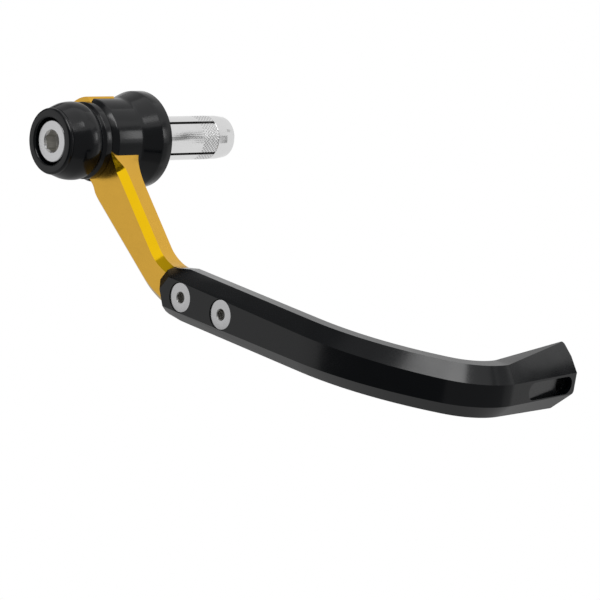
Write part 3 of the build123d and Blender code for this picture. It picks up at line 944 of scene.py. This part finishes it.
class MESH_OT_guard_blade(Operator):
    """Draw the blade's section along its bends, then cut its nose, tip, pocket and holes"""

    bl_idname = "mesh.lever_guard_blade"
    bl_label = "Guard blade"

    def execute(self, context):
        s = context.scene.guard_blade
        # The line of the face: the centres of its bends, and the place and ways of its tail
        turn1 = s.bend_turn
        turn2 = s.bend_turn + s.hook_turn
        to_centre = Vector((cos(turn1), sin(turn1)))
        inwards = Vector((cos(turn2), sin(turn2)))
        along = Vector((sin(turn2), -cos(turn2)))
        centre1 = Vector((s.front + s.bend, s.straight))
        centre2 = centre1 - s.bend * to_centre + s.hook * to_centre
        tail_start = centre2 - s.hook * inwards
        nose, start, bend, middle, tail, tip = blade_sections(s)
        # Places on that line, its turn there and the section
        tail_steps = 8
        stations = [
            (Vector((s.front, NOSE_Y + 0.0016)), 0.0, nose),
            (Vector((s.front, NOSE_Y - 0.0104)), 0.0, start),
            (Vector((s.front, s.straight)), 0.0, bend),
        ]
        stations += arc(centre1, s.bend, 0.0, turn1, 24, bend, middle)
        stations += arc(centre2, s.hook, turn1, s.hook_turn, 32, middle, tail)
        for step in range(1, tail_steps + 1):
            section = blend(tail, tip, step / tail_steps)
            place = tail_start + along * s.tail * step / tail_steps
            stations.append((place, turn2, section))
        rings = [
            [
                (place.x + cos(turn) * deep, place.y + sin(turn) * deep, BLADE_Z + up)
                for deep, up in section
            ]
            for place, turn, section in stations
        ]
        bm = loft(rings)
        trim_blade(bm, s, tail_start, along)
        tools = lap_tools(s, context.scene.guard_fasteners.screw_head)
        tools += tip_tools(tail_start, along, inwards)
        black = black_anodised(context.scene.guard_finishes.black)
        bm = carve(bm, tools)
        finish_piece(bm, "guard_blade_milled", "guard_blade", [black], s.edge)
        return {"FINISHED"}


class MESH_OT_guard_screws(Operator):
    """Turn the two countersunk screws and cut their sockets"""

    bl_idname = "mesh.lever_guard_screws"
    bl_label = "Guard screws"

    def execute(self, context):
        s = context.scene.guard_fasteners
        tones = context.scene.guard_finishes
        front, end = screw_low[0], screw_high[0]
        point, socket_deep, edge = 0.0005, 0.002, 0.00006
        outline = [
            (front, 0.0),
            (front, s.screw_head, 0.0001),
            (front + SCREW_RIM, s.screw_head, 0.00005),
            (front + SCREW_RIM + s.screw_head - SCREW_RADIUS, SCREW_RADIUS),
            (end - point, SCREW_RADIUS),
            (end, SCREW_RADIUS - point),
            (end, 0.0),
        ]
        both = bmesh.new()
        for y in SCREW_YS:
            place = (y, BLADE_Z)
            screw = lathe(outline, 64, place)
            join(both, cut_socket(screw, front, s.screw_key, socket_deep, 0.0, place))
        # Painted shade: the screws' sockets take the socket tone darkened to two thirds, darker
        # than the screws' steel.
        inside = socket_steel("screw_socket_finish", shade(tones.socket, 0.66))
        axis = (0.0, -SCREW_YS[0], -BLADE_Z)
        steel = plated_steel("screw_steel_finish", shade(tones.steel, 0.84), axis)
        finish_piece(both, "guard_screws_turned", "guard_screws", [steel, inside], edge)
        return {"FINISHED"}


class MESH_OT_guard_sleeve(Operator):
    """Turn the sleeve, press its diamond knurl and saw its four splits"""

    bl_idname = "mesh.lever_guard_sleeve"
    bl_label = "Collet sleeve"

    def execute(self, context):
        s = context.scene.guard_sleeve
        bore, neck_end, neck, end_bevel = 0.0046, 0.005, s.radius - 0.00005, 0.0001
        rows, steps = 22, 4 * s.knurl_count
        pitch = (s.end - s.knurl_from - end_bevel) / rows
        outline = [
            (-SEAT_DEPTH, bore),
            (-SEAT_DEPTH, SEAT_RADIUS),
            (0.0, SEAT_RADIUS),
            (0.0, neck),
            (neck_end, neck),
            (neck_end, s.radius),
            *[(s.knurl_from + pitch * row, s.radius) for row in range(rows + 1)],
            (s.end, s.radius - end_bevel),
            (s.end, CONE_BASE),
            (nut_low[0], CONE_TIP),
            (nut_low[0], bore),
        ]
        bm = lathe(outline, steps)
        # Two sets of crossing grooves leave flat diamonds between them
        for v in bm.verts:
            row = round((v.co.x - s.knurl_from) / pitch)
            reach = sqrt(v.co.y**2 + v.co.z**2)
            if row < 1 or row > rows or reach < s.radius - 1e-5:
                continue
            place = round(atan2(v.co.z, v.co.y) * steps / (2 * pi))
            if (row + place) % 4 == 0 or (row - place) % 4 == 0:
                v.co.yz = v.co.yz * (1 - s.knurl_depth / reach)
        knurled = [f for f in bm.faces if f.calc_center_median().x > s.knurl_from]
        bmesh.ops.triangulate(bm, faces=knurled)
        for f in bm.faces:
            middle = f.calc_center_median()
            if middle.x > s.knurl_from and middle.yz.length > s.radius - 1.5 * s.knurl_depth:
                f.material_index = 1
        split_long, split_wide = 0.03, 0.04
        middle = Matrix.Translation((neck_end + split_long / 2, 0, 0))
        turns = [Matrix.Rotation(-radians(turn), 4, "X") for turn in (58.0, 148.0)]
        bm = carve(bm, [brick((split_long, split_wide, s.split), turn @ middle) for turn in turns])
        # The walls of the splits keep the saw's finish, in a much darker tone that is painted
        # shade inside the narrow splits
        bm.normal_update()
        for f in bm.faces:
            outwards = (f.calc_center_median() * Vector((0.0, 1.0, 1.0))).normalized()
            if abs(f.normal.dot(outwards)) < 0.3 and abs(f.normal.x) < 0.3:
                f.material_index = 2
        tone = context.scene.guard_finishes.aluminium
        finishes = [
            turned_aluminium("sleeve_finish", tone),
            knurled_aluminium("knurl_painted_shade_finish", tone, s.radius - s.knurl_depth, s.radius),
            # Painted shade: the split walls take the bare aluminium's tone darkened to about a
            # fifth.
            sawn_aluminium("sawn_painted_shade_finish", shade(tone, 0.22)),
        ]
        finish_piece(bm, "collet_sleeve_split", "collet_sleeve", finishes)
        return {"FINISHED"}


class MESH_OT_guard_nut(Operator):
    """Turn the expander nut: cone inside the sleeve, bevelled head outside it"""

    bl_idname = "mesh.lever_guard_nut"
    bl_label = "Expander nut"

    def execute(self, context):
        s = context.scene.guard_sleeve
        radius = nut_high[2]
        bevel, bevel_deep, support = 0.0034, 0.00045, 0.0003
        outline = [
            (nut_low[0], BOLT_RADIUS),
            (nut_low[0], CONE_TIP),
            (s.end, CONE_BASE),
            (s.end, radius, 0.00012),
            (s.end + support, radius),
            (s.nut_end - bevel - support, radius),
            (s.nut_end - bevel, radius, 0.00004),
            (s.nut_end, radius - bevel_deep, 0.0003),
            (s.nut_end, BOLT_RADIUS, 0.0001),
        ]
        bm = lathe(outline, 128)
        bare = turned_aluminium("nut_finish", context.scene.guard_finishes.aluminium)
        finish_piece(bm, "expander_nut_turned", "expander_nut", [bare])
        return {"FINISHED"}


def by_ray(tree, fallen, seen):
    """One shader for the light that falls, another that the camera, mirrors and glass see."""
    path = add_node(tree, "LightPath")
    share = path["Is Camera Ray"]
    for other in ("Is Glossy Ray", "Is Transmission Ray"):
        links = {0: share, 1: path[other]}
        share = add_node(tree, "Math", links=links, operation="MAXIMUM")["Value"]
    return add_node(tree, "MixShader", links={0: share, 1: fallen, 2: seen})["Shader"]


def add_world(scene):
    scene.world = bpy.data.worlds.new("white_studio")
    scene.world.use_nodes = True
    tree = scene.world.node_tree
    seen = tree.nodes["Background"]
    set_values(seen, {"Color": WHITE, "Strength": 1.0})
    soft = add_node(tree, "Background", {"Color": WHITE, "Strength": 0.55})
    mixed = by_ray(tree, soft["Background"], seen.outputs["Background"])
    tree.links.new(mixed, tree.nodes["World Output"].inputs["Surface"])


def add_floor():
    bm = bmesh.new()
    place = Matrix.Translation((0, 0, cad_box[0][2] - FLOOR_DROP))
    bmesh.ops.create_grid(bm, x_segments=2, y_segments=2, size=FLOOR_HALF, matrix=place)
    floor = to_object(bm, "floor")
    material, tree = new_material("pale_floor")
    matt = tree.nodes["Principled BSDF"]
    set_values(matt, {"Base Color": (0.8, 0.8, 0.8, 1), "Roughness": 0.8})
    white = add_node(tree, "Emission", {"Color": WHITE, "Strength": 1.0})
    mixed = by_ray(tree, matt.outputs["BSDF"], white["Emission"])
    tree.links.new(mixed, tree.nodes["Material Output"].inputs["Surface"])
    floor.data.materials.append(material)


def add_lamp(name, place, size, look):
    """A soft box, its power set by how bright it looks."""
    data = bpy.data.lights.new(name, "AREA")
    data.shape = "RECTANGLE"
    data.size, data.size_y = size
    data.energy = look * pi * size[0] * size[1]
    add_object(name, data).location = place


def add_card(name, bearings, heights, tone):
    """A curved grey card round the object, which the camera and soft light pass through."""
    bm = bmesh.new()
    low, high = (radians(height) for height in heights)
    start = bm.verts.new((CARD_REACH * cos(low), 0, CARD_REACH * sin(low)))
    spin(bm, [start], (0, -1, 0), high - low, 12)
    turned = Matrix.Rotation(radians(bearings[0]), 3, "Z")
    bmesh.ops.rotate(bm, verts=bm.verts[:], matrix=turned)
    edge = bm.verts[:] + bm.edges[:]
    spin(bm, edge, (0, 0, 1), radians(bearings[1] - bearings[0]), 36)
    bmesh.ops.transform(bm, verts=bm.verts[:], matrix=STAGE_CENTRE)
    show_card(bm, name, tone)


def add_band(name, reach, ends, starts, stops, tone):
    """A card bent round the bar, between two places along it and two turns at each."""
    bm = bmesh.new()
    bmesh.ops.create_grid(bm, x_segments=2, y_segments=36, size=0.5)
    for v in bm.verts:
        share = v.co.x + 0.5
        start = starts[0] + (starts[1] - starts[0]) * share
        stop = stops[0] + (stops[1] - stops[0]) * share
        turn = radians(start + (stop - start) * (v.co.y + 0.5))
        along = ends[0] + (ends[1] - ends[0]) * share
        v.co = (along, -reach * cos(turn), reach * sin(turn))
    show_card(bm, name, tone)


def show_card(bm, name, tone):
    """Gives a card its tone and shows it in reflections only."""
    card = to_object(bm, name)
    material, tree = new_material(name)
    grey = add_node(tree, "Emission", {"Color": (tone, tone, tone, 1), "Strength": 1.0})
    tree.links.new(grey["Emission"], tree.nodes["Material Output"].inputs["Surface"])
    card.data.materials.append(material)
    card.visible_camera = False
    card.visible_diffuse = False
    card.visible_shadow = False
    card.visible_transmission = False


class SCENE_OT_guard_stage(Operator):
    """Set the camera, the pale floor, the white surroundings, the soft boxes and the cards"""

    bl_idname = "scene.lever_guard_stage"
    bl_label = "Stage"

    def execute(self, context):
        scene = context.scene
        scene.view_settings.view_transform = "Standard"
        data = bpy.data.cameras.new("camera")
        data.lens = CAMERA_LENS
        data.sensor_width = CAMERA_SENSOR
        data.clip_start = 0.01
        scene.camera = add_object("camera", data)
        scene.camera.matrix_world = CAMERA_PLACE
        add_world(scene)
        add_floor()
        for add, rows in ((add_lamp, LAMPS), (add_card, CARDS), (add_band, BANDS)):
            for row in rows:
                add(*row)
        return {"FINISHED"}


class VIEW3D_PT_lever_guard(Panel):
    bl_label = "Lever guard"
    bl_idname = "VIEW3D_PT_lever_guard"
    bl_space_type = "VIEW_3D"
    bl_region_type = "UI"
    bl_category = "Lever guard"

    def draw(self, context):
        for operator in OPERATORS:
            self.layout.operator(operator.bl_idname)
        for name in GROUPS:
            box = self.layout.box()
            group = getattr(context.scene, name)
            for prop in group.__annotations__:
                box.prop(group, prop)


GROUPS = {
    "guard_cap": GuardCapSizes,
    "guard_collar": GuardCollarSizes,
    "guard_arm": GuardArmSizes,
    "guard_blade": GuardBladeSizes,
    "guard_fasteners": GuardFastenerSizes,
    "guard_sleeve": GuardSleeveSizes,
    "guard_finishes": GuardFinishes,
}
OPERATORS = [
    MESH_OT_guard_cap,
    MESH_OT_guard_bolt,
    MESH_OT_guard_collar,
    MESH_OT_guard_arm,
    MESH_OT_guard_blade,
    MESH_OT_guard_screws,
    MESH_OT_guard_sleeve,
    MESH_OT_guard_nut,
    SCENE_OT_guard_stage,
]
CLASSES = [*GROUPS.values(), *OPERATORS, VIEW3D_PT_lever_guard]


def register():
    for each in CLASSES:
        bpy.utils.register_class(each)
    for name, group in GROUPS.items():
        setattr(bpy.types.Scene, name, PointerProperty(type=group))


def unregister():
    for name in GROUPS:
        delattr(bpy.types.Scene, name)
    for each in reversed(CLASSES):
        bpy.utils.unregister_class(each)


def main():
    register()
    bpy.ops.mesh.lever_guard_cap()
    bpy.ops.mesh.lever_guard_bolt()
    bpy.ops.mesh.lever_guard_collar()
    bpy.ops.mesh.lever_guard_arm()
    bpy.ops.mesh.lever_guard_blade()
    bpy.ops.mesh.lever_guard_screws()
    bpy.ops.mesh.lever_guard_sleeve()
    bpy.ops.mesh.lever_guard_nut()
    bpy.ops.scene.lever_guard_stage()


if __name__ == "__main__":
    main()
